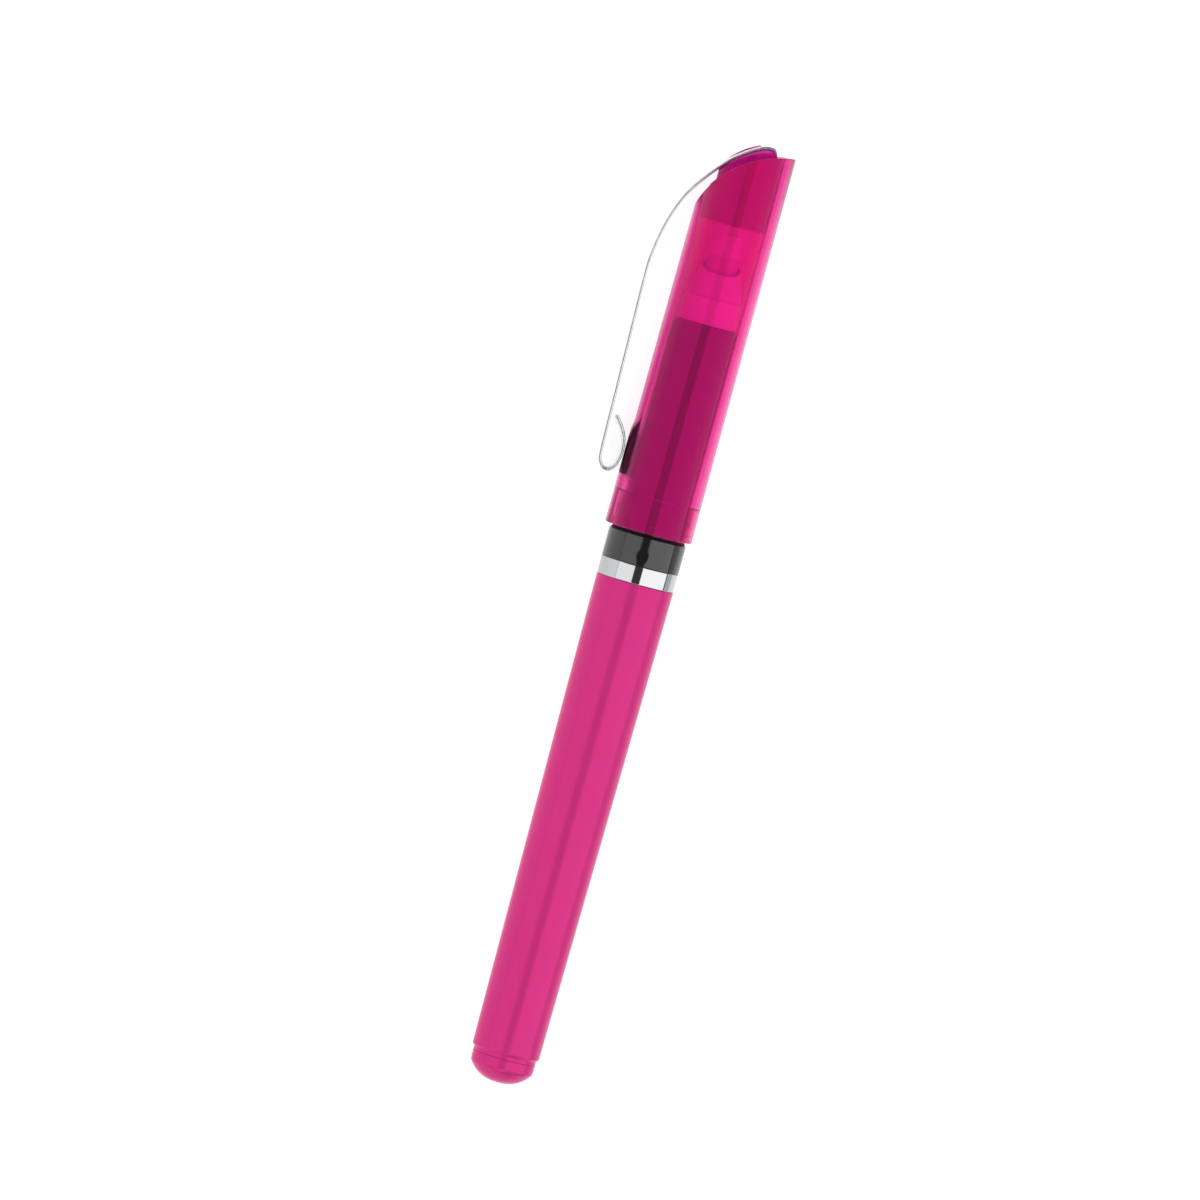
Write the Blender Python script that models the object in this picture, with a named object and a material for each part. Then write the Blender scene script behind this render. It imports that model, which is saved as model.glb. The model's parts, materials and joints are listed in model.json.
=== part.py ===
"""Capped, twist-retract gel highlighter, built as separate pieces and laid on a desk.

Every piece is drawn in the pen's own frame: the axis is Z, the twist knob ends at Z = 0, the cap is at
the top and its clip is on the -X side. One empty then turns the whole pen so that it lies level on its
cap and clip: the cap points along world -X and the desk is the plane Z = 0.
"""

import math

import bmesh
import bpy
from mathutils import Matrix

MM = 0.001

# Clearances
FIT_GAP = 0.2 * MM
JOINT_GAP = 0.3 * MM

# Twist knob and its bearing
KNOB_RADIUS = 4.63 * MM
KNOB_LENGTH = 3.5 * MM
KNOB_DOME_MM = ((1.3, 0), (2.36, 0.34), (3.39, 0.93), (4.2, 1.7), (4.63, 2.6))
KNOB_SHOULDER_TOP = 4.2 * MM
SHAFT_RADIUS = 2.3 * MM
SHAFT_TOP = 14.0 * MM
RING_GROOVE_Z = 11.7 * MM
SEAL_GROOVE_Z = 8.1 * MM
SEAL_SECTION_RADIUS = 0.35 * MM
BUSHING_BOTTOM = 5.1 * MM
BUSHING_TOP = 11.1 * MM

# Barrel
BARREL_NECK_BOTTOM = KNOB_LENGTH + JOINT_GAP
BARREL_NECK_TOP = 4.25 * MM
BARREL_BOTTOM = 4.3 * MM
BARREL_TOP = 74.3 * MM
BARREL_REAR_RADIUS = 4.97 * MM
BARREL_FRONT_RADIUS = 5.70 * MM
BEARING_BORE_RADIUS = 3.95 * MM
REAR_BORE_RADIUS = 4.0 * MM
FRONT_BORE_RADIUS = 4.6 * MM
FRONT_BORE_BOTTOM = 35.7 * MM

# Trim ring and grip section
RING_RADIUS = 5.71 * MM
RING_BOTTOM = BARREL_TOP + JOINT_GAP
RING_TOP = 77.1 * MM
FLANGE_BOTTOM = RING_TOP + JOINT_GAP
FLANGE_TOP = 81.7 * MM
SPIGOT_RADIUS = 4.4 * MM
SPIGOT_BOTTOM = 66.0 * MM
NECK_RADIUS = 5.1 * MM
NECK_TOP = 86.4 * MM
BEAD_Z = 84.7 * MM
BEAD_RADIUS = 5.35 * MM
GRIP_RADIUS = 4.75 * MM
GRIP_TOP = 113.0 * MM
GRIP_BORE_RADIUS = 3.65 * MM

# Nose cone
COLLAR_RADIUS = 4.3 * MM
COLLAR_TOP = 117.0 * MM
CONE_MOUTH_RADIUS = 2.98 * MM
NOSE_BORE_RADIUS = 2.6 * MM
NOSE_SPIGOT_BOTTOM = 107.5 * MM
MOUTH_MIDDLE = 121.4 * MM
MOUTH_SLANT = math.radians(20)

# Gel stick and its drive
STICK_RADIUS = 2.3 * MM
STICK_TIP_RADIUS = 1.86 * MM
STICK_BOTTOM = 85.3 * MM
STICK_TIP = 126.2 * MM
STICK_TRAVEL = 8.0 * MM
THREAD_LEAD = 6.0 * MM
THREAD_STARTS = 2
THREAD_RADIUS = 1.55 * MM
THREAD_DEPTH = 0.3 * MM
SCREW_ROD_RADIUS = 1.2 * MM
SHANK_ACROSS_FLATS = 2.2 * MM
SHANK_BOTTOM = 9.4 * MM
THREAD_BOTTOM = 40.0 * MM
SCREW_TOP = 60.0 * MM
NUT_BOTTOM = 50.0 * MM
NUT_TOP = 58.0 * MM
NUT_RADIUS = 2.9 * MM
CARRIER_BOTTOM = 49.6 * MM
CARRIER_SHOULDER = 60.0 * MM
CARRIER_TOP = 92.0 * MM
CARRIER_HEAD_RADIUS = 3.65 * MM
CARRIER_RADIUS = 3.3 * MM
KEY_TOP = 56.0 * MM
KEY_WIDTH = 1.0 * MM
KEY_REACH = 4.25 * MM
GUIDE_RADIUS = 4.4 * MM
GUIDE_BORE_RADIUS = 3.95 * MM
GUIDE_BOTTOM = 36.0 * MM
GUIDE_TOP = 65.6 * MM

# Cap
CAP_MOUTH = 82.0 * MM
CAP_MOUTH_RADIUS = 6.35 * MM
CAP_TOP_RADIUS = 6.17 * MM
CAP_TOP = 139.3 * MM
MOUTH_BORE_RADIUS = 5.65 * MM
MOUTH_BORE_TOP = 86.9 * MM
CAP_BORE_RADIUS = 4.95 * MM
CROWN_BOTTOM = 127.7 * MM
CROWN_RADIUS = 4.85 * MM
CREST_TOP = 139.25 * MM
RIDGE_TOP = 139.75 * MM
SEAL_CUP_BOTTOM = 122.9 * MM
SEAL_CUP_RADIUS = 2.75 * MM
SEAL_CUP_BORE_RADIUS = 2.4 * MM

# Clip strip
CLIP_WIDTH = 3.6 * MM
CLIP_THICKNESS = 0.43 * MM
CLIP_REACH = 10.70 * MM
CLIP_PIVOT_X = 3.0 * MM
CLIP_PIVOT_Z = 139.2 * MM
SLOT_LEFT = 2.8 * MM
SLOT_RIGHT = 4.1 * MM
SLOT_BOTTOM = 129.2 * MM
OVERALL_LENGTH = 139.98 * MM

# How the pen lies on the desk: the clip's lower edge touches the desk together with the cap.
CLIP_EDGE_DISTANCE = math.hypot(CLIP_REACH, CLIP_WIDTH / 2)
CLIP_DROP = math.asin(CAP_MOUTH_RADIUS / CLIP_EDGE_DISTANCE) - math.atan2(CLIP_WIDTH / 2, CLIP_REACH)
CLIP_SIDE_REACH = CLIP_REACH * math.cos(CLIP_DROP) + CLIP_WIDTH / 2 * math.sin(CLIP_DROP)
AXIS_Y = (CLIP_SIDE_REACH - CAP_MOUTH_RADIUS) / 2

# Facets round an inner piece and round a visible one
ROUND_STEPS = 32
VISIBLE_STEPS = 48


def clear_scene():
    for old in list(bpy.data.objects):
        bpy.data.objects.remove(old, do_unlink=True)


def make_material(name, colour, roughness, metallic=0.0, transmission=0.0):
    """A plain Principled material; colour is linear RGB."""
    made = bpy.data.materials.new(name)
    made.use_nodes = True
    shader = made.node_tree.nodes["Principled BSDF"]
    shader.inputs["Base Color"].default_value = (*colour, 1.0)
    shader.inputs["Roughness"].default_value = roughness
    shader.inputs["Metallic"].default_value = metallic
    shader.inputs["Transmission Weight"].default_value = transmission
    made.diffuse_color = (*colour, 1.0)
    return made


def add_piece(name, bm, material, parent):
    """Turns a bmesh into one named, smooth-shaded object under parent."""
    bmesh.ops.remove_doubles(bm, verts=bm.verts, dist=1e-7)
    bmesh.ops.recalc_face_normals(bm, faces=bm.faces)
    mesh = bpy.data.meshes.new(name)
    bm.to_mesh(mesh)
    bm.free()
    mesh.shade_smooth()
    mesh.set_sharp_from_angle(angle=math.radians(30))
    mesh.materials.append(material)
    piece = bpy.data.objects.new(name, mesh)
    bpy.context.collection.objects.link(piece)
    piece.parent = parent
    return piece


def rounded(corners, steps=3):
    """The outline through corners (r, z, radius), each corner with a radius turned into an arc."""
    points = []
    for i, (r, z, radius) in enumerate(corners):
        if radius == 0:
            points.append((r, z))
            continue
        before, after = corners[i - 1], corners[(i + 1) % len(corners)]
        to_before = (before[0] - r, before[1] - z)
        to_after = (after[0] - r, after[1] - z)
        turn = math.atan2(to_after[1], to_after[0]) - math.atan2(to_before[1], to_before[0])
        half = math.atan2(math.sin(turn), math.cos(turn)) / 2
        reach = radius / abs(math.tan(half))
        start = math.atan2(to_before[1], to_before[0])
        centre_angle = start + half
        centre_distance = radius / abs(math.sin(half))
        centre = (r + centre_distance * math.cos(centre_angle), z + centre_distance * math.sin(centre_angle))
        first = (r + reach * math.cos(start), z + reach * math.sin(start))
        first_angle = math.atan2(first[1] - centre[1], first[0] - centre[0])
        sweep = math.copysign(math.pi - 2 * abs(half), -half)
        for k in range(steps + 1):
            angle = first_angle + sweep * k / steps
            points.append((centre[0] + radius * math.cos(angle), centre[1] + radius * math.sin(angle)))
    return points


def spun(outline, steps=ROUND_STEPS, angle=math.tau):
    """Spins an outline of (r, z) about the axis. One that starts and ends at r = 0 makes a solid,
    any other is closed first and makes a ring."""
    bm = bmesh.new()
    verts = [bm.verts.new((r, 0, z)) for r, z in outline]
    solid = outline[0][0] == 0 and outline[-1][0] == 0
    edges = [bm.edges.new(pair) for pair in zip(verts, verts[1:])]
    if not solid:
        edges.append(bm.edges.new((verts[-1], verts[0])))
    full = angle == math.tau
    bmesh.ops.spin(
        bm,
        geom=verts + edges,
        axis=(0, 0, 1),
        cent=(0, 0, 0),
        steps=steps,
        angle=angle,
        use_merge=full,
    )
    if not full:
        bmesh.ops.holes_fill(bm, edges=[e for e in bm.edges if e.is_boundary], sides=0)
    return bm


def skinned(radius_at, heights, wall_heights=None, wall_radius=None, steps=24):
    """A body whose radius depends on angle and height. With wall_heights it is the wall of a hole
    inside a round sleeve, otherwise it is solid and its two ends are flat."""
    bm = bmesh.new()
    rows = []
    for z in heights:
        row = []
        for i in range(steps):
            angle = math.tau * i / steps
            r = radius_at(angle, z)
            row.append(bm.verts.new((r * math.cos(angle), r * math.sin(angle), z)))
        rows.append(row)
    for z in wall_heights or []:
        row = []
        for i in range(steps):
            angle = math.tau * i / steps
            row.append(bm.verts.new((wall_radius * math.cos(angle), wall_radius * math.sin(angle), z)))
        rows.append(row)
    pairs = list(zip(rows, rows[1:]))
    if wall_heights:
        pairs.append((rows[-1], rows[0]))
    else:
        bm.faces.new(rows[0])
        bm.faces.new(rows[-1])
    for low, high in pairs:
        for i in range(steps):
            j = (i + 1) % steps
            bm.faces.new((low[i], low[j], high[j], high[i]))
    return bm


def prism(outline, half_width):
    """Extrudes an outline of (x, z) across Y, from -half_width to half_width."""
    bm = bmesh.new()
    face = bm.faces.new([bm.verts.new((x, -half_width, z)) for x, z in outline])
    moved = bmesh.ops.extrude_face_region(bm, geom=[face])["geom"]
    verts = [v for v in moved if isinstance(v, bmesh.types.BMVert)]
    bmesh.ops.translate(bm, verts=verts, vec=(0, 2 * half_width, 0))
    return bm


def block(low, high):
    """A box between two corners."""
    outline = [(low[0], low[2]), (high[0], low[2]), (high[0], high[2]), (low[0], high[2])]
    bm = prism(outline, (high[1] - low[1]) / 2)
    bmesh.ops.translate(bm, verts=bm.verts, vec=(0, (high[1] + low[1]) / 2, 0))
    return bm


def combine(piece, cutter_bm, operation):
    """Adds a Boolean modifier that uses a hidden helper made from cutter_bm."""
    number = len(piece.modifiers) + 1
    cutter = add_piece(f"{piece.name}_tool_{number}", cutter_bm, piece.data.materials[0], piece.parent)
    cutter.hide_render = True
    cutter.display_type = "WIRE"
    modifier = piece.modifiers.new(f"{operation.lower()}_{number}", "BOOLEAN")
    modifier.operation = operation
    modifier.object = cutter


def arc_through(first, middle, last, steps):
    """Points along the circle through three (x, z) points."""
    ax, az = first
    bx, bz = middle
    cx, cz = last
    d = 2 * (ax * (bz - cz) + bx * (cz - az) + cx * (az - bz))
    a2, b2, c2 = ax**2 + az**2, bx**2 + bz**2, cx**2 + cz**2
    centre_x = (a2 * (bz - cz) + b2 * (cz - az) + c2 * (az - bz)) / d
    centre_z = (a2 * (cx - bx) + b2 * (ax - cx) + c2 * (bx - ax)) / d
    radius = math.hypot(ax - centre_x, az - centre_z)
    start = math.atan2(az - centre_z, ax - centre_x)
    end = math.atan2(cz - centre_z, cx - centre_x)
    sweep = math.remainder(end - start, math.tau)
    angles = [start + sweep * k / steps for k in range(steps + 1)]
    return [(centre_x + radius * math.cos(a), centre_z + radius * math.sin(a)) for a in angles]


def between(a, b, c, d, t):
    """The Catmull-Rom value a share t of the way from b to c."""
    square = (2 * a - 5 * b + 4 * c - d) * t**2
    cube = (3 * b - a - 3 * c + d) * t**3
    return (2 * b + (c - a) * t + square + cube) / 2


def smooth_curve(points, steps):
    """A Catmull-Rom curve through points, with steps pieces between each two."""
    ends = [points[0], *points, points[-1]]
    curve = []
    for four in zip(ends, ends[1:], ends[2:], ends[3:]):
        for k in range(steps):
            curve.append(tuple(between(*values, k / steps) for values in zip(*four)))
    curve.append(points[-1])
    return curve


def strip_outline(centre_line, thickness):
    """Both sides of a thin strip that follows centre_line."""
    sides = ([], [])
    last = len(centre_line) - 1
    for i, (x, z) in enumerate(centre_line):
        before, after = centre_line[max(i - 1, 0)], centre_line[min(i + 1, last)]
        length = math.hypot(after[0] - before[0], after[1] - before[1])
        normal = (-(after[1] - before[1]) / length, (after[0] - before[0]) / length)
        for side, sign in zip(sides, (1, -1)):
            side.append((x + sign * normal[0] * thickness / 2, z + sign * normal[1] * thickness / 2))
    return sides[0] + sides[1][::-1]


def barrel_radius(z):
    share = (z - BARREL_BOTTOM) / (BARREL_TOP - BARREL_BOTTOM)
    return BARREL_REAR_RADIUS + (BARREL_FRONT_RADIUS - BARREL_REAR_RADIUS) * share


def cap_radius(z):
    share = (z - CAP_MOUTH) / (CAP_TOP - CAP_MOUTH)
    return CAP_MOUTH_RADIUS + (CAP_TOP_RADIUS - CAP_MOUTH_RADIUS) * share


def thread_radius(angle, z):
    """The screw's wavy surface: a round-topped thread of THREAD_STARTS starts, right-handed."""
    wave = math.cos(THREAD_STARTS * (angle - math.tau * z / THREAD_LEAD))
    return THREAD_RADIUS + THREAD_DEPTH * wave


def screw_radius(angle, z):
    """Hexagonal shank, plain rod, then the threaded end."""
    if z <= SHAFT_TOP:
        return SHANK_ACROSS_FLATS / 2 / math.cos(math.remainder(angle, math.radians(60)))
    if z < THREAD_BOTTOM:
        return SCREW_ROD_RADIUS
    return thread_radius(angle, z)


def even_heights(start, end, step):
    count = round((end - start) / step)
    return [start + (end - start) * k / count for k in range(count + 1)]


def make_end_knob(material, parent):
    """Domed knob with its bearing shaft, which has grooves for the rubber ring and the retaining ring."""
    seal_half, ring_half = 0.55 * MM, 0.45 * MM
    seal_floor, ring_floor = 1.5 * MM, 1.75 * MM
    dome = [(r * MM, z * MM, 0) for r, z in smooth_curve(KNOB_DOME_MM, 2)]
    outline = rounded(
        [
            (0, 0, 0),
            *dome,
            (KNOB_RADIUS, KNOB_LENGTH, 0.15 * MM),
            (3.4 * MM, KNOB_LENGTH, 0),
            (3.4 * MM, KNOB_SHOULDER_TOP, 0),
            (SHAFT_RADIUS, KNOB_SHOULDER_TOP, 0),
            (SHAFT_RADIUS, SEAL_GROOVE_Z - seal_half, 0),
            (seal_floor, SEAL_GROOVE_Z - seal_half, 0),
            (seal_floor, SEAL_GROOVE_Z + seal_half, 0),
            (SHAFT_RADIUS, SEAL_GROOVE_Z + seal_half, 0),
            (SHAFT_RADIUS, RING_GROOVE_Z - ring_half, 0),
            (ring_floor, RING_GROOVE_Z - ring_half, 0),
            (ring_floor, RING_GROOVE_Z + ring_half, 0),
            (SHAFT_RADIUS, RING_GROOVE_Z + ring_half, 0),
            (SHAFT_RADIUS, SHAFT_TOP, 0.2 * MM),
            (0, SHAFT_TOP, 0),
        ]
    )
    knob = add_piece("end_knob", spun(outline), material, parent)
    socket = bmesh.new()
    socket_depth = SHAFT_TOP - SHANK_BOTTOM + FIT_GAP
    corner_radius = (SHANK_ACROSS_FLATS / 2 + FIT_GAP) / math.cos(math.radians(30))
    bmesh.ops.create_cone(
        socket,
        cap_ends=True,
        segments=6,
        radius1=corner_radius,
        radius2=corner_radius,
        depth=2 * socket_depth,
        matrix=Matrix.Translation((0, 0, SHAFT_TOP)) @ Matrix.Rotation(math.radians(30), 4, "Z"),
    )
    combine(knob, socket, "DIFFERENCE")


def make_friction_ring(material, parent):
    """Rubber ring that gives the knob its drag."""
    middle = SHAFT_RADIUS - 0.25 * MM
    steps = 10
    outline = [
        (
            middle + SEAL_SECTION_RADIUS * math.cos(math.tau * k / steps),
            SEAL_GROOVE_Z + SEAL_SECTION_RADIUS * math.sin(math.tau * k / steps),
        )
        for k in range(steps)
    ]
    add_piece("friction_o_ring", spun(outline), material, parent)


def make_rear_bushing(material, parent):
    bore, outside = SHAFT_RADIUS + JOINT_GAP, BEARING_BORE_RADIUS - FIT_GAP
    outline = rounded(
        [
            (bore, BUSHING_BOTTOM, 0.15 * MM),
            (outside, BUSHING_BOTTOM, 0.15 * MM),
            (outside, BUSHING_TOP, 0.15 * MM),
            (bore, BUSHING_TOP, 0.15 * MM),
        ],
        steps=2,
    )
    add_piece("rear_bushing", spun(outline), material, parent)


def make_thrust_washer(material, parent):
    """Thin washer between the knob's shoulder and the bushing."""
    bore, outside = SHAFT_RADIUS + JOINT_GAP, BEARING_BORE_RADIUS - FIT_GAP
    bottom, top = KNOB_SHOULDER_TOP + FIT_GAP, BUSHING_BOTTOM - FIT_GAP
    outline = [(bore, bottom), (outside, bottom), (outside, top), (bore, top)]
    add_piece("thrust_washer", spun(outline), material, parent)


def make_retaining_ring(material, parent):
    """Open ring snapped into the shaft's groove above the bushing."""
    half, inside, outside = 0.22 * MM, 1.95 * MM, 3.0 * MM
    outline = [
        (inside, RING_GROOVE_Z - half),
        (outside, RING_GROOVE_Z - half),
        (outside, RING_GROOVE_Z + half),
        (inside, RING_GROOVE_Z + half),
    ]
    add_piece("retaining_ring", spun(outline, ROUND_STEPS, math.radians(290)), material, parent)


def make_lead_screw(material, parent):
    transition = 0.3 * MM
    heights = [SHANK_BOTTOM, SHAFT_TOP, SHAFT_TOP + transition, THREAD_BOTTOM - transition]
    heights += even_heights(THREAD_BOTTOM, SCREW_TOP, 0.5 * MM)
    add_piece("lead_screw", skinned(screw_radius, heights), material, parent)


def make_carrier_nut(material, parent):
    """Nut with the screw's own surface, larger all round by the running gap."""

    def bore(angle, z):
        return thread_radius(angle, z) + JOINT_GAP

    heights = even_heights(NUT_BOTTOM, NUT_TOP, 0.5 * MM)
    bm = skinned(bore, heights, wall_heights=heights[::-1], wall_radius=NUT_RADIUS)
    add_piece("carrier_nut", bm, material, parent)


def make_stick_carrier(material, parent):
    """Tube that holds the nut below and the gel stick above, with two keys that stop it turning."""
    nut_seat, screw_room = NUT_RADIUS + FIT_GAP, THREAD_RADIUS + THREAD_DEPTH + JOINT_GAP
    floor_bottom = SCREW_TOP + STICK_TRAVEL + 0.6 * MM
    stick_seat = STICK_RADIUS + FIT_GAP
    outline = [
        (nut_seat, CARRIER_BOTTOM),
        (CARRIER_HEAD_RADIUS, CARRIER_BOTTOM),
        (CARRIER_HEAD_RADIUS, CARRIER_SHOULDER),
        (CARRIER_RADIUS, CARRIER_SHOULDER + 0.5 * MM),
        (CARRIER_RADIUS, CARRIER_TOP),
        (stick_seat, CARRIER_TOP),
        (stick_seat, STICK_BOTTOM - FIT_GAP),
        (0.6 * MM, STICK_BOTTOM - FIT_GAP),
        (0.6 * MM, floor_bottom),
        (screw_room, floor_bottom),
        (screw_room, NUT_TOP + FIT_GAP),
        (nut_seat, NUT_TOP + FIT_GAP),
    ]
    carrier = add_piece("stick_carrier", spun(outline), material, parent)
    for side in (-1, 1):
        inner, outer = sorted((side * (CARRIER_HEAD_RADIUS - 0.3 * MM), side * KEY_REACH))
        low = (-KEY_WIDTH / 2, inner, CARRIER_BOTTOM + 0.4 * MM)
        high = (KEY_WIDTH / 2, outer, KEY_TOP)
        combine(carrier, block(low, high), "UNION")


def make_guide_tube(material, parent):
    """Fixed tube with two long slots that the carrier's keys slide in."""
    outline = [
        (GUIDE_BORE_RADIUS, GUIDE_BOTTOM),
        (GUIDE_RADIUS, GUIDE_BOTTOM),
        (GUIDE_RADIUS, GUIDE_TOP),
        (GUIDE_BORE_RADIUS, GUIDE_TOP),
    ]
    tube = add_piece("guide_tube", spun(outline), material, parent)
    slot_half = KEY_WIDTH / 2 + JOINT_GAP
    slot_bottom = CARRIER_BOTTOM - STICK_TRAVEL - 0.5 * MM
    low = (-slot_half, -1.2 * GUIDE_RADIUS, slot_bottom)
    high = (slot_half, 1.2 * GUIDE_RADIUS, KEY_TOP + 0.6 * MM)
    combine(tube, block(low, high), "DIFFERENCE")


def make_gel_stick(material, parent):
    taper_start = STICK_TIP - 5.0 * MM
    outline = rounded(
        [
            (0, STICK_BOTTOM, 0),
            (STICK_RADIUS, STICK_BOTTOM, 0),
            (STICK_RADIUS, taper_start, 0),
            (STICK_TIP_RADIUS, STICK_TIP, 0.2 * MM),
            (0, STICK_TIP, 0),
        ]
    )
    add_piece("gel_stick", spun(outline), material, parent)


def make_barrel(material, parent):
    lip_bottom, lip_top = BUSHING_TOP + FIT_GAP, BUSHING_TOP + 1.2 * MM
    lip_radius, chamfer = 3.4 * MM, 0.35 * MM
    outline = [
        (BEARING_BORE_RADIUS, BARREL_NECK_BOTTOM),
        (KNOB_RADIUS, BARREL_NECK_BOTTOM),
        (KNOB_RADIUS, BARREL_NECK_TOP),
        (barrel_radius(BARREL_NECK_TOP + chamfer), BARREL_NECK_TOP + chamfer),
        (barrel_radius(BARREL_TOP), BARREL_TOP),
        (FRONT_BORE_RADIUS, BARREL_TOP),
        (FRONT_BORE_RADIUS, FRONT_BORE_BOTTOM),
        (REAR_BORE_RADIUS, FRONT_BORE_BOTTOM),
        (REAR_BORE_RADIUS, lip_top),
        (lip_radius, lip_top),
        (lip_radius, lip_bottom),
        (BEARING_BORE_RADIUS, lip_bottom),
    ]
    add_piece("barrel", spun(outline, VISIBLE_STEPS), material, parent)


def make_trim_ring(material, parent):
    bore, edge = SPIGOT_RADIUS + FIT_GAP, 0.15 * MM
    outline = rounded(
        [
            (bore, RING_BOTTOM, 0),
            (RING_RADIUS, RING_BOTTOM, edge),
            (RING_RADIUS, RING_TOP, edge),
            (bore, RING_TOP, 0),
        ],
        steps=2,
    )
    add_piece("trim_ring", spun(outline, VISIBLE_STEPS), material, parent)


def make_grip_section(material, parent):
    """Spigot in the barrel, flange, neck with a snap bead for the cap, and the grip itself."""
    bead_steps, bead_height = 6, 0.5 * MM
    bead = []
    for k in range(bead_steps + 1):
        angle = -math.pi / 2 + math.pi * k / bead_steps
        r = NECK_RADIUS + (BEAD_RADIUS - NECK_RADIUS) * math.cos(angle)
        bead.append((r, BEAD_Z + bead_height * math.sin(angle)))
    spigot_bore = GUIDE_BORE_RADIUS
    outline = [
        (spigot_bore, SPIGOT_BOTTOM),
        (SPIGOT_RADIUS, SPIGOT_BOTTOM),
        (SPIGOT_RADIUS, FLANGE_BOTTOM),
        (RING_RADIUS, FLANGE_BOTTOM),
        (RING_RADIUS, FLANGE_TOP - 0.5 * MM),
        (RING_RADIUS - 0.4 * MM, FLANGE_TOP),
        (NECK_RADIUS, FLANGE_TOP),
        *bead,
        (NECK_RADIUS, NECK_TOP),
        (GRIP_RADIUS, NECK_TOP + 0.4 * MM),
        (GRIP_RADIUS, GRIP_TOP - 0.5 * MM),
        (GRIP_RADIUS - 0.4 * MM, GRIP_TOP),
        (GRIP_BORE_RADIUS, GRIP_TOP),
        (GRIP_BORE_RADIUS, FLANGE_BOTTOM),
        (spigot_bore, FLANGE_BOTTOM - 0.5 * MM),
    ]
    add_piece("grip_section", spun(outline, VISIBLE_STEPS), material, parent)


def make_nose_cone(material, parent):
    """Collar and cone that guide the stick, with a mouth cut on a slant."""
    above_mouth = MOUTH_MIDDLE + 2.0 * MM
    outline = [
        (STICK_RADIUS + 0.6 * MM, NOSE_SPIGOT_BOTTOM),
        (GRIP_BORE_RADIUS - FIT_GAP, NOSE_SPIGOT_BOTTOM),
        (GRIP_BORE_RADIUS - FIT_GAP, GRIP_TOP + FIT_GAP),
        (COLLAR_RADIUS, GRIP_TOP + FIT_GAP),
        (COLLAR_RADIUS, COLLAR_TOP - 0.2 * MM),
        (COLLAR_RADIUS - 0.2 * MM, COLLAR_TOP),
        (CONE_MOUTH_RADIUS, MOUTH_MIDDLE),
        (CONE_MOUTH_RADIUS, above_mouth),
        (NOSE_BORE_RADIUS, above_mouth),
        (NOSE_BORE_RADIUS, COLLAR_TOP),
        (STICK_RADIUS + 0.6 * MM, COLLAR_TOP - 0.6 * MM),
    ]
    nose = add_piece("nose_cone", spun(outline), material, parent)
    size = 10 * MM
    slab = block((-size, -size, 0), (size, size, size))
    tilt = Matrix.Translation((0, 0, MOUTH_MIDDLE)) @ Matrix.Rotation(MOUTH_SLANT, 4, "X")
    bmesh.ops.transform(slab, matrix=tilt, verts=slab.verts)
    combine(nose, slab, "DIFFERENCE")


def make_cap_shell(material, parent):
    """Long clear shell, open at the mouth, its top edge scooped down towards the clip."""
    plug_bore = CROWN_RADIUS + FIT_GAP
    cap_end = CAP_TOP + 1.0 * MM
    side = 8 * MM
    outline = rounded(
        [
            (MOUTH_BORE_RADIUS, CAP_MOUTH, 0),
            (CAP_MOUTH_RADIUS, CAP_MOUTH, 0.15 * MM),
            (cap_radius(cap_end), cap_end, 0),
            (plug_bore, cap_end, 0),
            (plug_bore, CROWN_BOTTOM - FIT_GAP, 0),
            (CAP_BORE_RADIUS, CROWN_BOTTOM - FIT_GAP, 0),
            (CAP_BORE_RADIUS, MOUTH_BORE_TOP + 0.2 * MM, 0),
            (MOUTH_BORE_RADIUS, MOUTH_BORE_TOP, 0),
        ],
        steps=2,
    )
    shell = add_piece("cap_shell", spun(outline, VISIBLE_STEPS), material, parent)
    rim_low, rim_high = (-6.3 * MM, 128.8 * MM), (6.4 * MM, 139.25 * MM)
    rim = arc_through(rim_low, (-2.77 * MM, 135.1 * MM), rim_high, 14)
    above = [(side, rim_high[1]), (side, cap_end + side), (-side, cap_end + side), (-side, rim_low[1])]
    combine(shell, prism(rim + above, side), "DIFFERENCE")


def make_cap_crown(material, parent):
    """Solid end plug of the cap. Its crest slopes down to the clip side under the strip, with a guard
    ridge on the far side of the strip; a slot takes the strip's tail."""
    top, side, below = 142 * MM, 6 * MM, CROWN_BOTTOM - 1 * MM
    outline = [(0, CROWN_BOTTOM), (CROWN_RADIUS, CROWN_BOTTOM), (CROWN_RADIUS, top), (0, top)]
    crown = add_piece("cap_crown", spun(outline, VISIBLE_STEPS), material, parent)
    shoulder = [(-side, 132.3 * MM), (-CROWN_RADIUS, 132.6 * MM), (-4.2 * MM, 133.5 * MM)]
    crest = arc_through((-4.2 * MM, 134.75 * MM), (-1.06 * MM, 137.68 * MM), (2.6 * MM, CREST_TOP), 8)
    ridge = arc_through((-4.2 * MM, 135.5 * MM), (-2.36 * MM, 137.8 * MM), (0.6 * MM, RIDGE_TOP), 8)
    back = [(SLOT_LEFT, RIDGE_TOP), (SLOT_RIGHT, 138.0 * MM), (side, 138.6 * MM)]
    kept = [(-side, below), *shoulder, *ridge, *back, (side, below)]
    combine(crown, prism(kept, side), "INTERSECT")
    slot_half = CLIP_WIDTH / 2 + JOINT_GAP
    over = [(SLOT_LEFT, CREST_TOP), (SLOT_LEFT, top), (-side, top), (-side, 134.75 * MM)]
    shelf = prism([*crest, *over], (side + slot_half) / 2)
    bmesh.ops.translate(shelf, verts=shelf.verts, vec=(0, (slot_half - side) / 2, 0))
    combine(crown, shelf, "DIFFERENCE")
    slot = block((SLOT_LEFT, -slot_half, SLOT_BOTTOM), (SLOT_RIGHT, slot_half, top))
    combine(crown, slot, "DIFFERENCE")
    window = block((-4.2 * MM, -side, SLOT_BOTTOM), (-3.05 * MM, side, 132.9 * MM))
    combine(crown, window, "DIFFERENCE")


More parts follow.
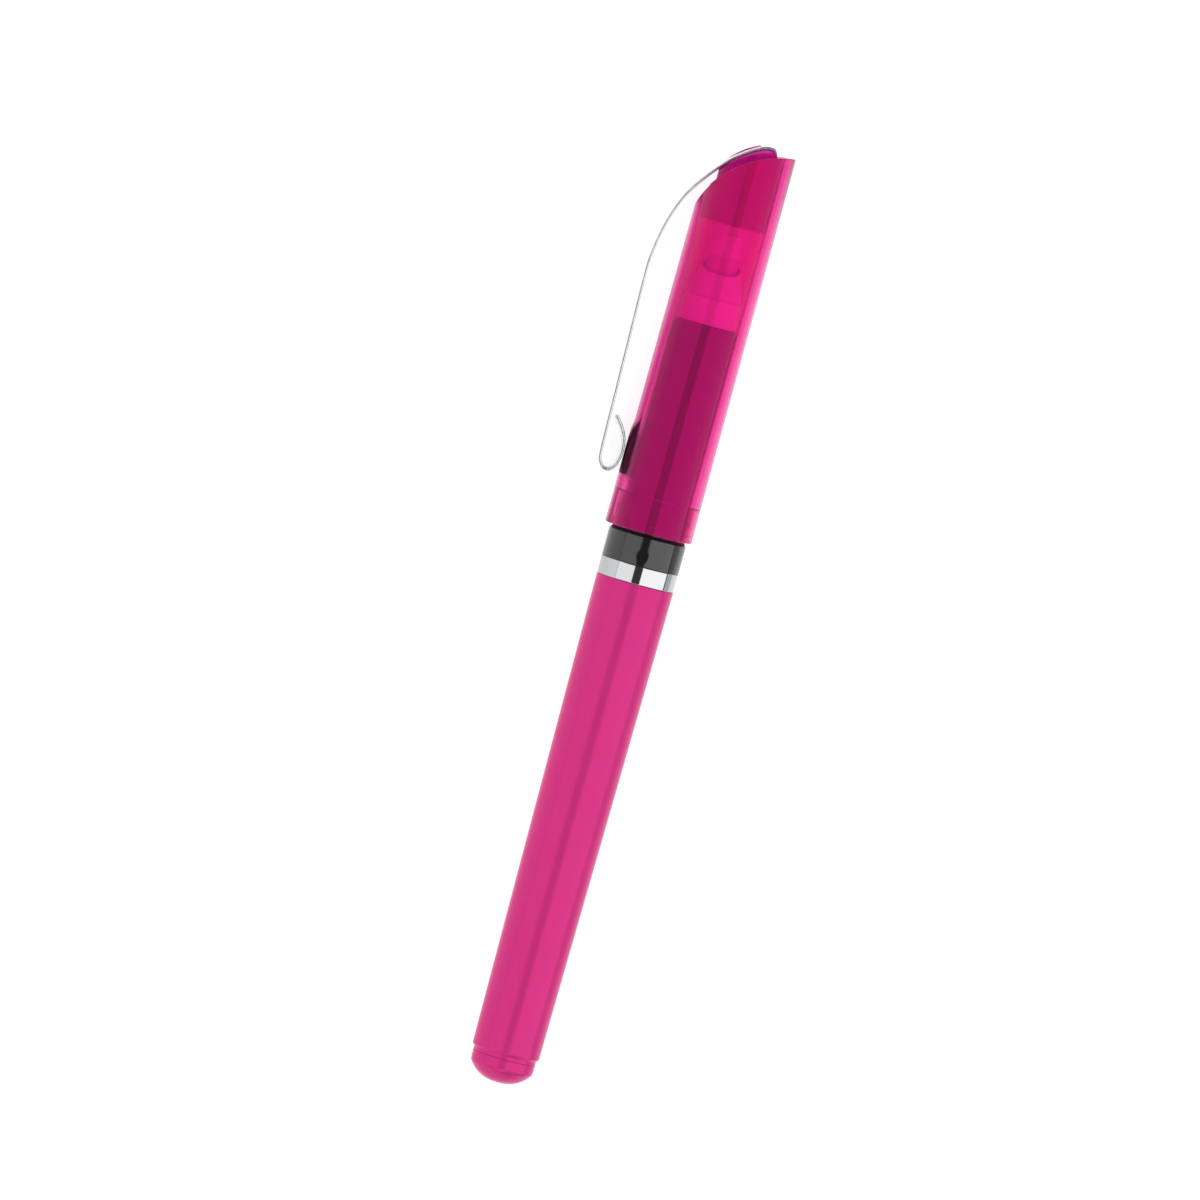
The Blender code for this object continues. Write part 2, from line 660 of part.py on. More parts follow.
def make_seal_cup(material, parent):
    """Soft cup under the crown that closes round the stick's tip."""
    top = CROWN_BOTTOM - JOINT_GAP
    outline = [
        (SEAL_CUP_BORE_RADIUS, SEAL_CUP_BOTTOM),
        (SEAL_CUP_RADIUS, SEAL_CUP_BOTTOM),
        (SEAL_CUP_RADIUS + 0.15 * MM, top),
        (SEAL_CUP_BORE_RADIUS, top),
    ]
    add_piece("seal_cup", spun(outline), material, parent)


def make_clip(material, parent):
    """One bent spring strip: tail in the crown's slot, over the crest, long bow, and a curled foot."""
    route_mm = [
        (3.45, 136.0),
        (3.45, 138.2),
        (3.15, 139.4),
        (2.30, 139.77),
        (0.96, 139.50),
        (-1.33, 138.10),
        (-3.34, 136.40),
        (-6.07, 133.10),
        (-8.15, 129.70),
        (-9.60, 125.40),
        (-10.37, 120.80),
        (-10.485, 117.60),
        (-10.34, 110.70),
        (-10.09, 100.40),
        (-9.87, 91.80),
        (-9.50, 90.00),
        (-8.55, 89.20),
        (-7.45, 89.75),
        (-6.92, 91.20),
        (-6.83, 92.80),
        (-7.15, 94.40),
        (-7.90, 95.80),
        (-8.94, 97.10),
    ]
    route = smooth_curve([(x * MM, z * MM) for x, z in route_mm], 4)
    bm = prism(strip_outline(route, CLIP_THICKNESS), CLIP_WIDTH / 2)
    clip = add_piece("clip", bm, material, parent)
    pivot = Matrix.Translation((CLIP_PIVOT_X, 0, CLIP_PIVOT_Z))
    clip.data.transform(pivot.inverted())
    clip.location = pivot.translation


def main():
    clear_scene()
    pink_clear = make_material("cap_clear_magenta", (0.80, 0.05, 0.27), 0.05, transmission=0.8)
    magenta = make_material("barrel_magenta", (0.66, 0.03, 0.20), 0.12)
    black = make_material("grip_black", (0.02, 0.02, 0.02), 0.2)
    chrome = make_material("ring_chrome", (0.8, 0.8, 0.82), 0.08, metallic=1.0)
    steel = make_material("strip_steel", (0.6, 0.6, 0.62), 0.25, metallic=1.0)
    gel = make_material("gel_pink", (0.85, 0.08, 0.30), 0.45)
    collar = make_material("collar_pink", (0.88, 0.12, 0.32), 0.2)
    natural = make_material("natural_nylon", (0.75, 0.73, 0.68), 0.4)
    rubber = make_material("rubber_black", (0.02, 0.02, 0.02), 0.7)
    seal = make_material("seal_soft", (0.55, 0.03, 0.18), 0.4)

    pen = bpy.data.objects.new("pen_axis", None)
    bpy.context.collection.objects.link(pen)
    make_end_knob(magenta, pen)
    make_friction_ring(rubber, pen)
    make_rear_bushing(natural, pen)
    make_thrust_washer(natural, pen)
    make_retaining_ring(steel, pen)
    make_lead_screw(natural, pen)
    make_carrier_nut(natural, pen)
    make_stick_carrier(natural, pen)
    make_guide_tube(natural, pen)
    make_gel_stick(gel, pen)
    make_barrel(magenta, pen)
    make_trim_ring(chrome, pen)
    make_grip_section(black, pen)
    make_nose_cone(collar, pen)
    make_cap_shell(pink_clear, pen)
    make_cap_crown(pink_clear, pen)
    make_seal_cup(seal, pen)
    make_clip(steel, pen)

    # Pen +Z goes to world -X, and pen -X, the clip's side, goes to world -Y and down by CLIP_DROP.
    cosine, sine = math.cos(CLIP_DROP), math.sin(CLIP_DROP)
    lie_down = Matrix(((0, 0, -1), (cosine, sine, 0), (sine, -cosine, 0))).to_4x4()
    place = Matrix.Translation((OVERALL_LENGTH / 2, AXIS_Y, CAP_MOUTH_RADIUS))
    pen.matrix_world = place @ lie_down


main()
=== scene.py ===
# Capped twist-retract highlighter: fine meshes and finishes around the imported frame.
# Every piece is drawn in the pen's own axes (z along the pen from the knob's end, the clip at -x,
# the viewer at -y) in millimetres, then laid down in the frame's own place.
import json
import math

import bpy
from mathutils import Matrix, Vector


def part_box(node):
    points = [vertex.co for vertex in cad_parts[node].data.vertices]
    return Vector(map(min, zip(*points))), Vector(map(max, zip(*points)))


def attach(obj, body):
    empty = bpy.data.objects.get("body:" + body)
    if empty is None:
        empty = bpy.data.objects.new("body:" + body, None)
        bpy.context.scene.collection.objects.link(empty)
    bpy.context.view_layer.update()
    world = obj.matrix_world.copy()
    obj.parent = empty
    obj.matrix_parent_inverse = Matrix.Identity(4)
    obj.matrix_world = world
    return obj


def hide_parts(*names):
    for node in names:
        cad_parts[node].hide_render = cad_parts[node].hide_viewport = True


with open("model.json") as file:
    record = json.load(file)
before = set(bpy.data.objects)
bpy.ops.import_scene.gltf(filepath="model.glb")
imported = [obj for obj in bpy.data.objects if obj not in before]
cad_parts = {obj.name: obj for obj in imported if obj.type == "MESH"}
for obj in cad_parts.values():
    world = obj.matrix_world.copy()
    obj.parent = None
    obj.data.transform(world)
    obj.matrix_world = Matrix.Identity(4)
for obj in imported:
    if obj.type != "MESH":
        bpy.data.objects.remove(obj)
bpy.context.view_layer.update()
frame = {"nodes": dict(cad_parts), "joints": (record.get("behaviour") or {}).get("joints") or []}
mm = 0.001
micron = 0.000001
tau = math.tau
print("frame loaded:", len(frame["nodes"]), "nodes")


# The pen's place, read from the frame: the barrel gives the axis, the knob its start,
# and the clip's hinge axis is the pen's own y.
barrelLow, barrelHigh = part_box("barrel")
knobLow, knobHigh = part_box("end_knob")
clipHinge = next(joint for joint in frame["joints"] if joint["name"] == "clip_flex")
penZ = Vector((-1, 0, 0))
penY = Vector(clipHinge["axis"]).normalized()
penX = penY.cross(penZ)
penStart = Vector((knobHigh.x, (barrelLow.y + barrelHigh.y) / 2, (barrelLow.z + barrelHigh.z) / 2))
penAxes = Matrix((penX, penY, penZ)).transposed().to_4x4()
penPlace = Matrix.Translation(penStart) @ penAxes @ Matrix.Scale(mm, 4)


def hexToLinear(code):
    # sRGB hex to the linear colour that shaders take
    channels = [int(code[i : i + 2], 16) / 255 for i in (0, 2, 4)]
    linear = [c / 12.92 if c <= 0.04045 else ((c + 0.055) / 1.055) ** 2.4 for c in channels]
    return (*linear, 1.0)


def addNode(tree, kind, settings=None, links=None):
    node = tree.nodes.new(kind)
    for name, value in (settings or {}).items():
        if hasattr(node, name):
            setattr(node, name, value)
        else:
            node.inputs[name].default_value = value
    for name, source in (links or {}).items():
        tree.links.new(source, node.inputs[name])
    return node


def newMaterial(name):
    made = bpy.data.materials.new(name)
    made.use_nodes = True
    made.node_tree.nodes.clear()
    output = made.node_tree.nodes.new("ShaderNodeOutputMaterial")
    return made, made.node_tree, output


def roundedOutline(corners, steps=5):
    # corners are (r, z, radius); each radius becomes an arc
    points = []
    for i, (r, z, radius) in enumerate(corners):
        if radius == 0:
            points.append((r, z))
            continue
        before, after = corners[i - 1], corners[(i + 1) % len(corners)]
        start = math.atan2(before[1] - z, before[0] - r)
        end = math.atan2(after[1] - z, after[0] - r)
        half = math.remainder(end - start, tau) / 2
        reach = radius / abs(math.tan(half))
        distance = radius / abs(math.sin(half))
        centre = (r + distance * math.cos(start + half), z + distance * math.sin(start + half))
        first = (r + reach * math.cos(start), z + reach * math.sin(start))
        angle = math.atan2(first[1] - centre[1], first[0] - centre[0])
        sweep = math.copysign(math.pi - 2 * abs(half), -half)
        for k in range(steps + 1):
            turn = angle + sweep * k / steps
            points.append((centre[0] + radius * math.cos(turn), centre[1] + radius * math.sin(turn)))
    return points


def makeObject(name, points, faces, material, sharpAngle=35):
    mesh = bpy.data.meshes.new(name)
    mesh.from_pydata([penPlace @ Vector(point) for point in points], [], faces)
    mesh.validate()
    mesh.materials.append(material)
    mesh.shade_smooth()
    mesh.set_sharp_from_angle(angle=math.radians(sharpAngle))
    made = bpy.data.objects.new(name, mesh)
    bpy.context.scene.collection.objects.link(made)
    return made


def turned(name, outlineAt, material, steps=160, sharpAngle=35):
    # A turned body. outlineAt(angle) gives the section's (r, z) there, anticlockwise seen with
    # r to the right; one that starts and ends on the axis is solid, any other is a closed ring.
    sections = [outlineAt(tau * i / steps) for i in range(steps)]
    count = len(sections[0])
    solid = sections[0][0][0] == 0 and sections[0][-1][0] == 0
    points, faces = [], []
    for i, section in enumerate(sections):
        angle = tau * i / steps
        for r, z in section:
            points.append((r * math.cos(angle), r * math.sin(angle), z))
    for i in range(steps):
        here, there = i * count, (i + 1) % steps * count
        for k in range(count if not solid else count - 1):
            n = (k + 1) % count
            if solid and k == 0:
                faces.append((0, there + n, here + n))
            elif solid and n == count - 1:
                faces.append((here + k, there + k, count - 1))
            else:
                faces.append((here + k, there + k, there + n, here + n))
    if solid:  # only the first section's points on the axis are used
        used = sorted({index for face in faces for index in face})
        place = {old: new for new, old in enumerate(used)}
        points = [points[index] for index in used]
        faces = [tuple(place[index] for index in face) for face in faces]
    return makeObject(name, points, faces, material, sharpAngle)


def sameAllRound(corners, steps=5):
    outline = roundedOutline(corners, steps)
    return lambda angle: outline


def prism(name, outline, halfWidth, material):
    # an (x, z) outline pushed across y
    count = len(outline)
    points = [(x, y, z) for y in (-halfWidth, halfWidth) for x, z in outline]
    faces = [tuple(range(count)), tuple(range(2 * count - 1, count - 1, -1))]
    for k in range(count):
        n = (k + 1) % count
        faces.append((n, k, count + k, count + n))
    return makeObject(name, points, faces, material)


def cutWith(piece, tool, operation):
    modifier = piece.modifiers.new("cut", "BOOLEAN")
    modifier.operation = operation
    modifier.object = tool
    applyModifiers(piece)
    bpy.data.objects.remove(tool, do_unlink=True)


def applyModifiers(piece):
    bpy.context.view_layer.update()
    graph = bpy.context.evaluated_depsgraph_get()
    mesh = bpy.data.meshes.new_from_object(piece.evaluated_get(graph))
    piece.modifiers.clear()
    piece.data = mesh


def arcThrough(first, middle, last):
    # the circle through three (x, z) points: its centre and radius
    ax, az, bx, bz, cx, cz = *first, *middle, *last
    d = 2 * (ax * (bz - cz) + bx * (cz - az) + cx * (az - bz))
    a2, b2, c2 = ax**2 + az**2, bx**2 + bz**2, cx**2 + cz**2
    x = (a2 * (bz - cz) + b2 * (cz - az) + c2 * (az - bz)) / d
    z = (a2 * (cx - bx) + b2 * (ax - cx) + c2 * (bx - ax)) / d
    return x, z, math.hypot(ax - x, az - z)


def arcPoints(first, middle, last, steps):
    x, z, radius = arcThrough(first, middle, last)
    start = math.atan2(first[1] - z, first[0] - x)
    sweep = math.remainder(math.atan2(last[1] - z, last[0] - x) - start, tau)
    angles = [start + sweep * k / steps for k in range(steps + 1)]
    return [(x + radius * math.cos(a), z + radius * math.sin(a)) for a in angles]


def smoothCurve(points, steps):
    # Catmull-Rom through the points
    ends = [points[0], *points, points[-1]]
    curve = []
    for four in zip(ends, ends[1:], ends[2:], ends[3:]):
        for k in range(steps):
            t = k / steps
            curve.append(tuple(alongCurve(values, t) for values in zip(*four)))
    curve.append(points[-1])
    return curve


def alongCurve(values, t):
    a, b, c, d = values
    square = (2 * a - 5 * b + 4 * c - d) * t**2
    cube = (3 * b - a - 3 * c + d) * t**3
    return (2 * b + (c - a) * t + square + cube) / 2


def finishPiece(piece, body, slot, *nodes):
    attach(piece, body)
    if nodes:
        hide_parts(*nodes)
    return piece


def plasticMaterial(name, look):
    # A moulded plastic: an even colour with a faint cloudiness from mixing, a gloss that is
    # slightly uneven, and a very shallow waviness where the skin shrank.
    made, tree, output = newMaterial(name)
    place = addNode(tree, "ShaderNodeTexCoord").outputs["Object"]
    cloudScale, skinScale = 1 / (look["cloudMm"] * mm), 1 / (look["skinMm"] * mm)
    cloud = addNode(tree, "ShaderNodeTexNoise", {"Scale": cloudScale, "Detail": 3.0}, {"Vector": place})
    colour = addNode(
        tree,
        "ShaderNodeMix",
        {"data_type": "RGBA", "A": hexToLinear(look["colour"]), "B": hexToLinear(look["deep"])},
        {"Factor": cloud.outputs["Fac"]},
    )
    skin = addNode(tree, "ShaderNodeTexNoise", {"Scale": skinScale, "Detail": 2.0}, {"Vector": place})
    gloss = addNode(
        tree,
        "ShaderNodeMapRange",
        {"To Min": look["roughness"] * 0.8, "To Max": look["roughness"] * 1.2},
        {"Value": skin.outputs["Fac"]},
    )
    bump = addNode(
        tree,
        "ShaderNodeBump",
        {"Strength": 1.0, "Distance": look["waveUm"] * micron},
        {"Height": skin.outputs["Fac"]},
    )
    shader = addNode(
        tree,
        "ShaderNodeBsdfPrincipled",
        {
            "IOR": look["ior"],
            "Specular Tint": hexToLinear(look["sheen"]),
            "Specular IOR Level": look["gloss"],
            "Metallic": look["pearl"],
            "Subsurface Weight": look["glow"],
            "Subsurface Scale": 0.6 * mm,  # how far light spreads inside
            "Subsurface Radius": (1.0, 0.3, 0.5),  # red goes furthest
        },
        {
            "Base Color": colour.outputs["Result"],
            "Roughness": gloss.outputs["Result"],
            "Normal": bump.outputs["Normal"],
        },
    )
    tree.links.new(shader.outputs[0], output.inputs["Surface"])
    return made


def clearMaterial(name, look):
    # A tinted clear resin from a polished mould: sharp reflections, colour from the dye, and a slow
    # waviness along the flow. Lamps shine through it, tinted once for each surface they cross.
    made, tree, output = newMaterial(name)
    place = addNode(tree, "ShaderNodeTexCoord").outputs["Object"]
    alongScale, acrossScale = 1 / (look["flowMm"] * mm), 1 / (look["acrossMm"] * mm)
    stretched = addNode(
        tree,
        "ShaderNodeMapping",
        {"Scale": (alongScale, acrossScale, acrossScale)},
        {"Vector": place},
    ).outputs["Vector"]
    flow = addNode(tree, "ShaderNodeTexNoise", {"Scale": 1.0, "Detail": 2.0}, {"Vector": stretched})
    bump = addNode(
        tree,
        "ShaderNodeBump",
        {"Strength": 1.0, "Distance": look["waveUm"] * micron},
        {"Height": flow.outputs["Fac"]},
    )
    clear = addNode(
        tree,
        "ShaderNodeBsdfPrincipled",
        {
            "Base Color": hexToLinear(look["dye"]),
            "Roughness": look["roughness"],
            "IOR": look["ior"],
            "Transmission Weight": look["clearness"],
            "Specular Tint": hexToLinear(look["sheen"]),
        },
        {"Normal": bump.outputs["Normal"]},
    )
    lampTint = addNode(tree, "ShaderNodeBsdfTransparent", {"Color": hexToLinear(look["lampTint"])})
    path = addNode(tree, "ShaderNodeLightPath")
    both = addNode(tree, "ShaderNodeMixShader", {}, {0: path.outputs["Is Shadow Ray"]})
    tree.links.new(clear.outputs[0], both.inputs[1])
    tree.links.new(lampTint.outputs[0], both.inputs[2])
    tree.links.new(both.outputs[0], output.inputs["Surface"])
    return made


def metalMaterial(name, look):
    # A rolled or plated metal: bright, with fine lines that run one way and stretch its reflections.
    made, tree, output = newMaterial(name)
    place = addNode(tree, "ShaderNodeTexCoord").outputs["Object"]
    lines = addNode(
        tree,
        "ShaderNodeMapping",
        {"Scale": tuple(1 / (size * mm) for size in look["grainMm"])},
        {"Vector": place},
    ).outputs["Vector"]
    grain = addNode(tree, "ShaderNodeTexNoise", {"Scale": 1.0, "Detail": 3.0}, {"Vector": lines})
    gloss = addNode(
        tree,
        "ShaderNodeMapRange",
        {"To Min": look["roughness"] * 0.6, "To Max": look["roughness"] * 1.4},
        {"Value": grain.outputs["Fac"]},
    )
    bump = addNode(
        tree,
        "ShaderNodeBump",
        {"Strength": 1.0, "Distance": look["grainUm"] * micron},
        {"Height": grain.outputs["Fac"]},
    )
    shader = addNode(
        tree,
        "ShaderNodeBsdfPrincipled",
        {"Base Color": hexToLinear(look["colour"]), "Metallic": 1.0},
        {"Roughness": gloss.outputs["Result"], "Normal": bump.outputs["Normal"]},
    )
    tree.links.new(shader.outputs[0], output.inputs["Surface"])
    return made


# Dyed acrylic, moulded thin and polished: clear, with the colour deepest where walls overlap.
capClearLook = {
    "dye": "d83890",
    "lampTint": "f6d6ee",
    "ior": 1.49,
    "roughness": 0.02,
    "clearness": 0.86,
    "sheen": "ff10a4",
    "flowMm": 9.0,
    "acrossMm": 2.5,
    "waveUm": 3.0,
}
capClear = clearMaterial("clearAcrylic", capClearLook)

# The same resin moulded solid: so deep in colour that little shows through.
crownClearLook = {
    "dye": "960e68",
    "lampTint": "d870b4",
    "ior": 1.49,
    "roughness": 0.05,
    "clearness": 0.5,
    "sheen": "ff2ab2",
    "flowMm": 5.0,
    "acrossMm": 3.0,
    "waveUm": 3.0,
}
crownClear = clearMaterial("clearAcrylicThick", crownClearLook)

# ABS with magenta and a trace of pearl in it, from a gloss mould: opaque, with soft-edged shine.
barrelAbsLook = {
    "colour": "bb2f73",
    "deep": "b42c6e",
    "ior": 1.54,
    "roughness": 0.2,
    "sheen": "ff70b0",
    "gloss": 0.12,
    "pearl": 0.16,
    "glow": 0.0,
    "cloudMm": 6.0,
    "skinMm": 1.6,
    "waveUm": 2.0,
}
barrelAbs = plasticMaterial("glossAbsMagenta", barrelAbsLook)

# Painted shade: the same plastic made nearly black and dull, laid on the clear cap wall beside the
# clip's foot, where the wall reads dark.
paintedShadeLook = {
    "colour": "3c031f",
    "deep": "34021a",
    "ior": 1.54,
    "roughness": 0.35,
    "sheen": "ff10a4",
    "gloss": 0.08,
    "pearl": 0.0,
    "glow": 0.0,
    "cloudMm": 3.0,
    "skinMm": 0.8,
    "waveUm": 2.0,
}
# the material of the painted shade patch on the cap wall
paintedShadeAbs = plasticMaterial("paintedShadeMagenta", paintedShadeLook)

# Black ABS from a gloss mould: dark, and its reflections stay clear.
gripAbsLook = {
    "colour": "131314",
    "deep": "101011",
    "ior": 1.53,
    "roughness": 0.14,
    "sheen": "ffffff",
    "gloss": 0.5,
    "pearl": 0.0,
    "glow": 0.0,
    "cloudMm": 6.0,
    "skinMm": 1.4,
    "waveUm": 2.0,
}
gripAbs = plasticMaterial("glossAbsBlack", gripAbsLook)

# Undyed polypropylene, moulded: milky, and light spreads a little inside it.
collarPpLook = {
    "colour": "dcd8dc",
    "deep": "d5d1d5",
    "ior": 1.49,
    "roughness": 0.25,
    "sheen": "ffffff",
    "gloss": 0.5,
    "pearl": 0.0,
    "glow": 0.3,
    "cloudMm": 2.0,
    "skinMm": 0.9,
    "waveUm": 2.0,
}
collarPp = plasticMaterial("polypropyleneWhite", collarPpLook)

# Cast wax gel with pigment: soft, nearly matt, and it glows inside.
gelWaxLook = {
    "colour": "cc98be",
    "deep": "c48eb4",
    "ior": 1.45,
    "roughness": 0.5,
    "sheen": "ffffff",
    "gloss": 0.5,
    "pearl": 0.0,
    "glow": 0.6,
    "cloudMm": 1.2,
    "skinMm": 0.35,
    "waveUm": 8.0,
}
gelWax = plasticMaterial("gelWaxPink", gelWaxLook)

# Soft polyethylene, moulded: hazy rather than clear.
sealLdpeLook = {
    "dye": "f0d0e4",
    "lampTint": "f8e4f2",
    "ior": 1.51,
    "roughness": 0.12,
    "clearness": 0.75,
    "sheen": "ff80b8",
    "flowMm": 3.0,
    "acrossMm": 2.0,
    "waveUm": 3.0,
}
sealLdpe = clearMaterial("softPolyethylene", sealLdpeLook)

# Natural acetal, moulded: ivory, smooth and slightly waxy.
innerPomLook = {
    "colour": "e6e3da",
    "deep": "dcd8cc",
    "ior": 1.48,
    "roughness": 0.35,
    "sheen": "ffffff",
    "gloss": 0.5,
    "pearl": 0.0,
    "glow": 0.0,
    "cloudMm": 3.0,
    "skinMm": 0.6,
    "waveUm": 3.0,
}
innerPom = plasticMaterial("naturalAcetal", innerPomLook)

# Nitrile rubber, pressed in a plain mould: black and dull.
ringRubberLook = {
    "colour": "1a1a1b",
    "deep": "141415",
    "ior": 1.52,
    "roughness": 0.65,
    "sheen": "ffffff",
    "gloss": 0.5,
    "pearl": 0.0,
    "glow": 0.0,
    "cloudMm": 1.0,
    "skinMm": 0.12,
    "waveUm": 6.0,
}
ringRubber = plasticMaterial("nitrileRubber", ringRubberLook)

# Chrome plate over moulded plastic: mirror bright, with the mould's turning marks round it.
ringChromeLook = {
    "colour": "a9aaab",
    "roughness": 0.07,
    "grainMm": (0.12, 6.0, 6.0),
    "grainUm": 0.15,
}
ringChrome = metalMaterial("chromePlate", ringChromeLook)

# Cold-rolled spring steel: satin, with rolling lines along the strip. The lines are drawn
# coarser than real ones so that they show.
stripSteelLook = {
    "colour": "d2d7d8",
    "roughness": 0.26,
    "grainMm": (5.0, 0.1, 0.1),
    "grainUm": 0.4,
}
stripSteel = metalMaterial("rolledSpringSteel", stripSteelLook)
print("materials made")


barrelSizes = {
    "bottom": 3.72,
    "neckTop": 4.25,
    "neckRadius": 4.63,
    "stepTop": 4.6,
    "top": 74.58,
    "rearRadius": 4.97,
    "frontRadius": 5.70,
    "bearingBore": 3.95,
    "rearBore": 4.0,
    "frontBore": 4.6,
    "frontBoreBottom": 35.7,
    "lip": (11.3, 12.3, 3.4),
}


def makeBarrel(s):
    lipBottom, lipTop, lipRadius = s["lip"]
    corners = [
        (s["bearingBore"], s["bottom"], 0.05),
        (s["neckRadius"], s["bottom"], 0.04),
        (s["neckRadius"], s["neckTop"], 0.06),
        (s["rearRadius"], s["stepTop"], 0.3),
        (s["frontRadius"], s["top"], 0.06),
        (s["frontBore"], s["top"], 0),
        (s["frontBore"], s["frontBoreBottom"], 0),
        (s["rearBore"], s["frontBoreBottom"], 0),
        (s["rearBore"], lipTop, 0),
        (lipRadius, lipTop, 0),
        (lipRadius, lipBottom, 0),
        (s["bearingBore"], lipBottom, 0),
    ]
    return turned("barrelSkin", sameAllRound(corners), barrelAbs)


knobSizes = {
    "dome": ((1.2, 0), (2.3, 0.3), (3.36, 0.9), (4.17, 1.68), (4.54, 2.2), (4.63, 2.75)),
    "top": 3.69,
    "shoulder": 3.4,
    "shoulderTop": 4.2,
    "shaft": 2.3,
    "shaftTop": 9.4,
}


def makeKnob(s):
    # a dome with a small flat on its end, a straight rim, then the shoulder and shaft inside the barrel
    rim = s["dome"][-1][0]
    corners = [
        (0, 0, 0),
        *[(r, z, 0) for r, z in smoothCurve(s["dome"], 6)],
        (rim, s["top"], 0.04),
        (s["shoulder"], s["top"], 0),
        (s["shoulder"], s["shoulderTop"], 0),
        (s["shaft"], s["shoulderTop"], 0),
        (s["shaft"], s["shaftTop"], 0.1),
        (0, s["shaftTop"], 0),
    ]
    return turned("knobSkin", sameAllRound(corners), barrelAbs)


finishPiece(makeBarrel(barrelSizes), "body", "barrel_magenta", "barrel")
finishPiece(makeKnob(knobSizes), "knob", "barrel_magenta", "end_knob")
print("barrel and knob made")


ringSizes = {
    "bottom": 74.6,
    "top": 77.22,
    "radius": 5.71,
    "bore": 4.6,
    "edge": 0.12,
}


def makeTrimRing(s):
    corners = [
        (s["bore"], s["bottom"], 0),
        (s["radius"], s["bottom"], s["edge"]),
        (s["radius"], s["top"], s["edge"]),
        (s["bore"], s["top"], 0),
    ]
    return turned("trimRingSkin", sameAllRound(corners), ringChrome)


gripSizes = {
    "spigotBottom": 66.0,
    "spigotRadius": 4.4,
    "flangeBottom": 77.24,
    "flangeTop": 81.88,
    "flangeRadius": 5.71,
    "neckRadius": 5.1,
    "neckTop": 86.4,
    "beadZ": 84.7,
    "beadRadius": 5.55,
    "beadHeight": 0.5,
    "gripRadius": 4.75,
    "gripTop": 113.0,
    "bore": 3.65,
    "spigotBore": 3.95,
    "gateZ": 78.7,
    "gateRadius": 1.1,
    "gateDepth": 0.06,
}


def makeGrip(s):
    spigot = [
        (s["spigotBore"], s["spigotBottom"], 0),
        (s["spigotRadius"], s["spigotBottom"], 0.1),
        (s["spigotRadius"], s["flangeBottom"], 0),
        (s["flangeRadius"], s["flangeBottom"], 0.08),
    ]
    bead = []
    for k in range(13):
        angle = -math.pi / 2 + math.pi * k / 12
        r = s["neckRadius"] + (s["beadRadius"] - s["neckRadius"]) * math.cos(angle)
        bead.append((r, s["beadZ"] + s["beadHeight"] * math.sin(angle), 0))
    front = [
        (s["flangeRadius"], s["flangeTop"] - 0.5, 0.12),
        (s["flangeRadius"] - 0.4, s["flangeTop"], 0.1),
        (s["neckRadius"], s["flangeTop"], 0),
        *bead,
        (s["neckRadius"], s["neckTop"], 0.15),
        (s["gripRadius"], s["neckTop"] + 0.4, 0.2),
        (s["gripRadius"], s["gripTop"] - 0.5, 0.15),
        (s["gripRadius"] - 0.4, s["gripTop"], 0.08),
        (s["bore"], s["gripTop"], 0),
        (s["bore"], s["flangeBottom"], 0),
        (s["spigotBore"], s["flangeBottom"] - 0.5, 0),
    ]
    flangeRows = [s["gateZ"] + (k / 10 - 1.1) for k in range(23)]

    def dimple(angle, z):
        # the mould's gate left a shallow round dimple on the flange, on the viewer's side
        across = s["flangeRadius"] * math.remainder(angle + math.pi / 2, tau)
        share = math.hypot(across, z - s["gateZ"]) / s["gateRadius"]
        return s["gateDepth"] * (1 - share**2) ** 2 if share < 1 else 0

    def outlineAt(angle):
        flange = [(s["flangeRadius"] - dimple(angle, z), z, 0) for z in flangeRows]
        return roundedOutline([*spigot, *flange, *front], 4)

    return turned("gripSkin", outlineAt, gripAbs, 192)


finishPiece(makeTrimRing(ringSizes), "body", "ring_chrome", "trim_ring")
finishPiece(makeGrip(gripSizes), "body", "grip_black", "grip_section")
print("ring and grip made")


noseSizes = {
    "spigotBottom": 107.5,
    "spigotRadius": 3.45,
    "spigotBore": 2.9,
    "collarBottom": 113.05,
    "collarRadius": 4.3,
    "collarTop": 117.0,
    "mouthRadius": 2.98,
    "mouthBore": 2.6,
    "mouthMiddle": 121.4,
    "slant": 20,
}


def makeNose(s):
    # the mouth is cut on a slant, low towards the viewer
    rise = math.tan(math.radians(s["slant"]))
    coneSlope = (s["mouthRadius"] - s["collarRadius"] + 0.2) / (s["mouthMiddle"] - s["collarTop"])

    def outlineAt(angle):
        outerRise = s["mouthRadius"] * math.sin(angle) * rise
        innerRise = s["mouthBore"] * math.sin(angle) * rise
        corners = [
            (s["spigotBore"], s["spigotBottom"], 0),
            (s["spigotRadius"], s["spigotBottom"], 0),
            (s["spigotRadius"], s["collarBottom"], 0),
            (s["collarRadius"], s["collarBottom"], 0.08),
            (s["collarRadius"], s["collarTop"] - 0.2, 0.1),
            (s["collarRadius"] - 0.2, s["collarTop"], 0.1),
            (s["mouthRadius"] + outerRise * coneSlope * 0.6, s["mouthMiddle"] + outerRise, 0.1),
            (s["mouthBore"], s["mouthMiddle"] + innerRise, 0.06),
            (s["mouthBore"], s["collarTop"], 0),
            (s["spigotBore"], s["collarTop"] - 0.6, 0),
        ]
        return roundedOutline(corners, 4)

    return turned("noseSkin", outlineAt, collarPp)


stickSizes = {
    "bottom": 85.3,
    "radius": 2.3,
    "taperStart": 121.2,
    "tip": 126.2,
    "tipRadius": 1.86,
}


def makeStick(s):
    corners = [
        (0, s["bottom"], 0),
        (s["radius"], s["bottom"], 0.1),
        (s["radius"], s["taperStart"], 0.8),
        (s["tipRadius"], s["tip"], 0.22),
        (0, s["tip"], 0),
    ]
    return turned("stickSkin", sameAllRound(corners), gelWax)


finishPiece(makeNose(noseSizes), "body", "collar_pink", "nose_cone")
finishPiece(makeStick(stickSizes), "carrier", "gel_pink", "gel_stick")
print("nose and stick made")


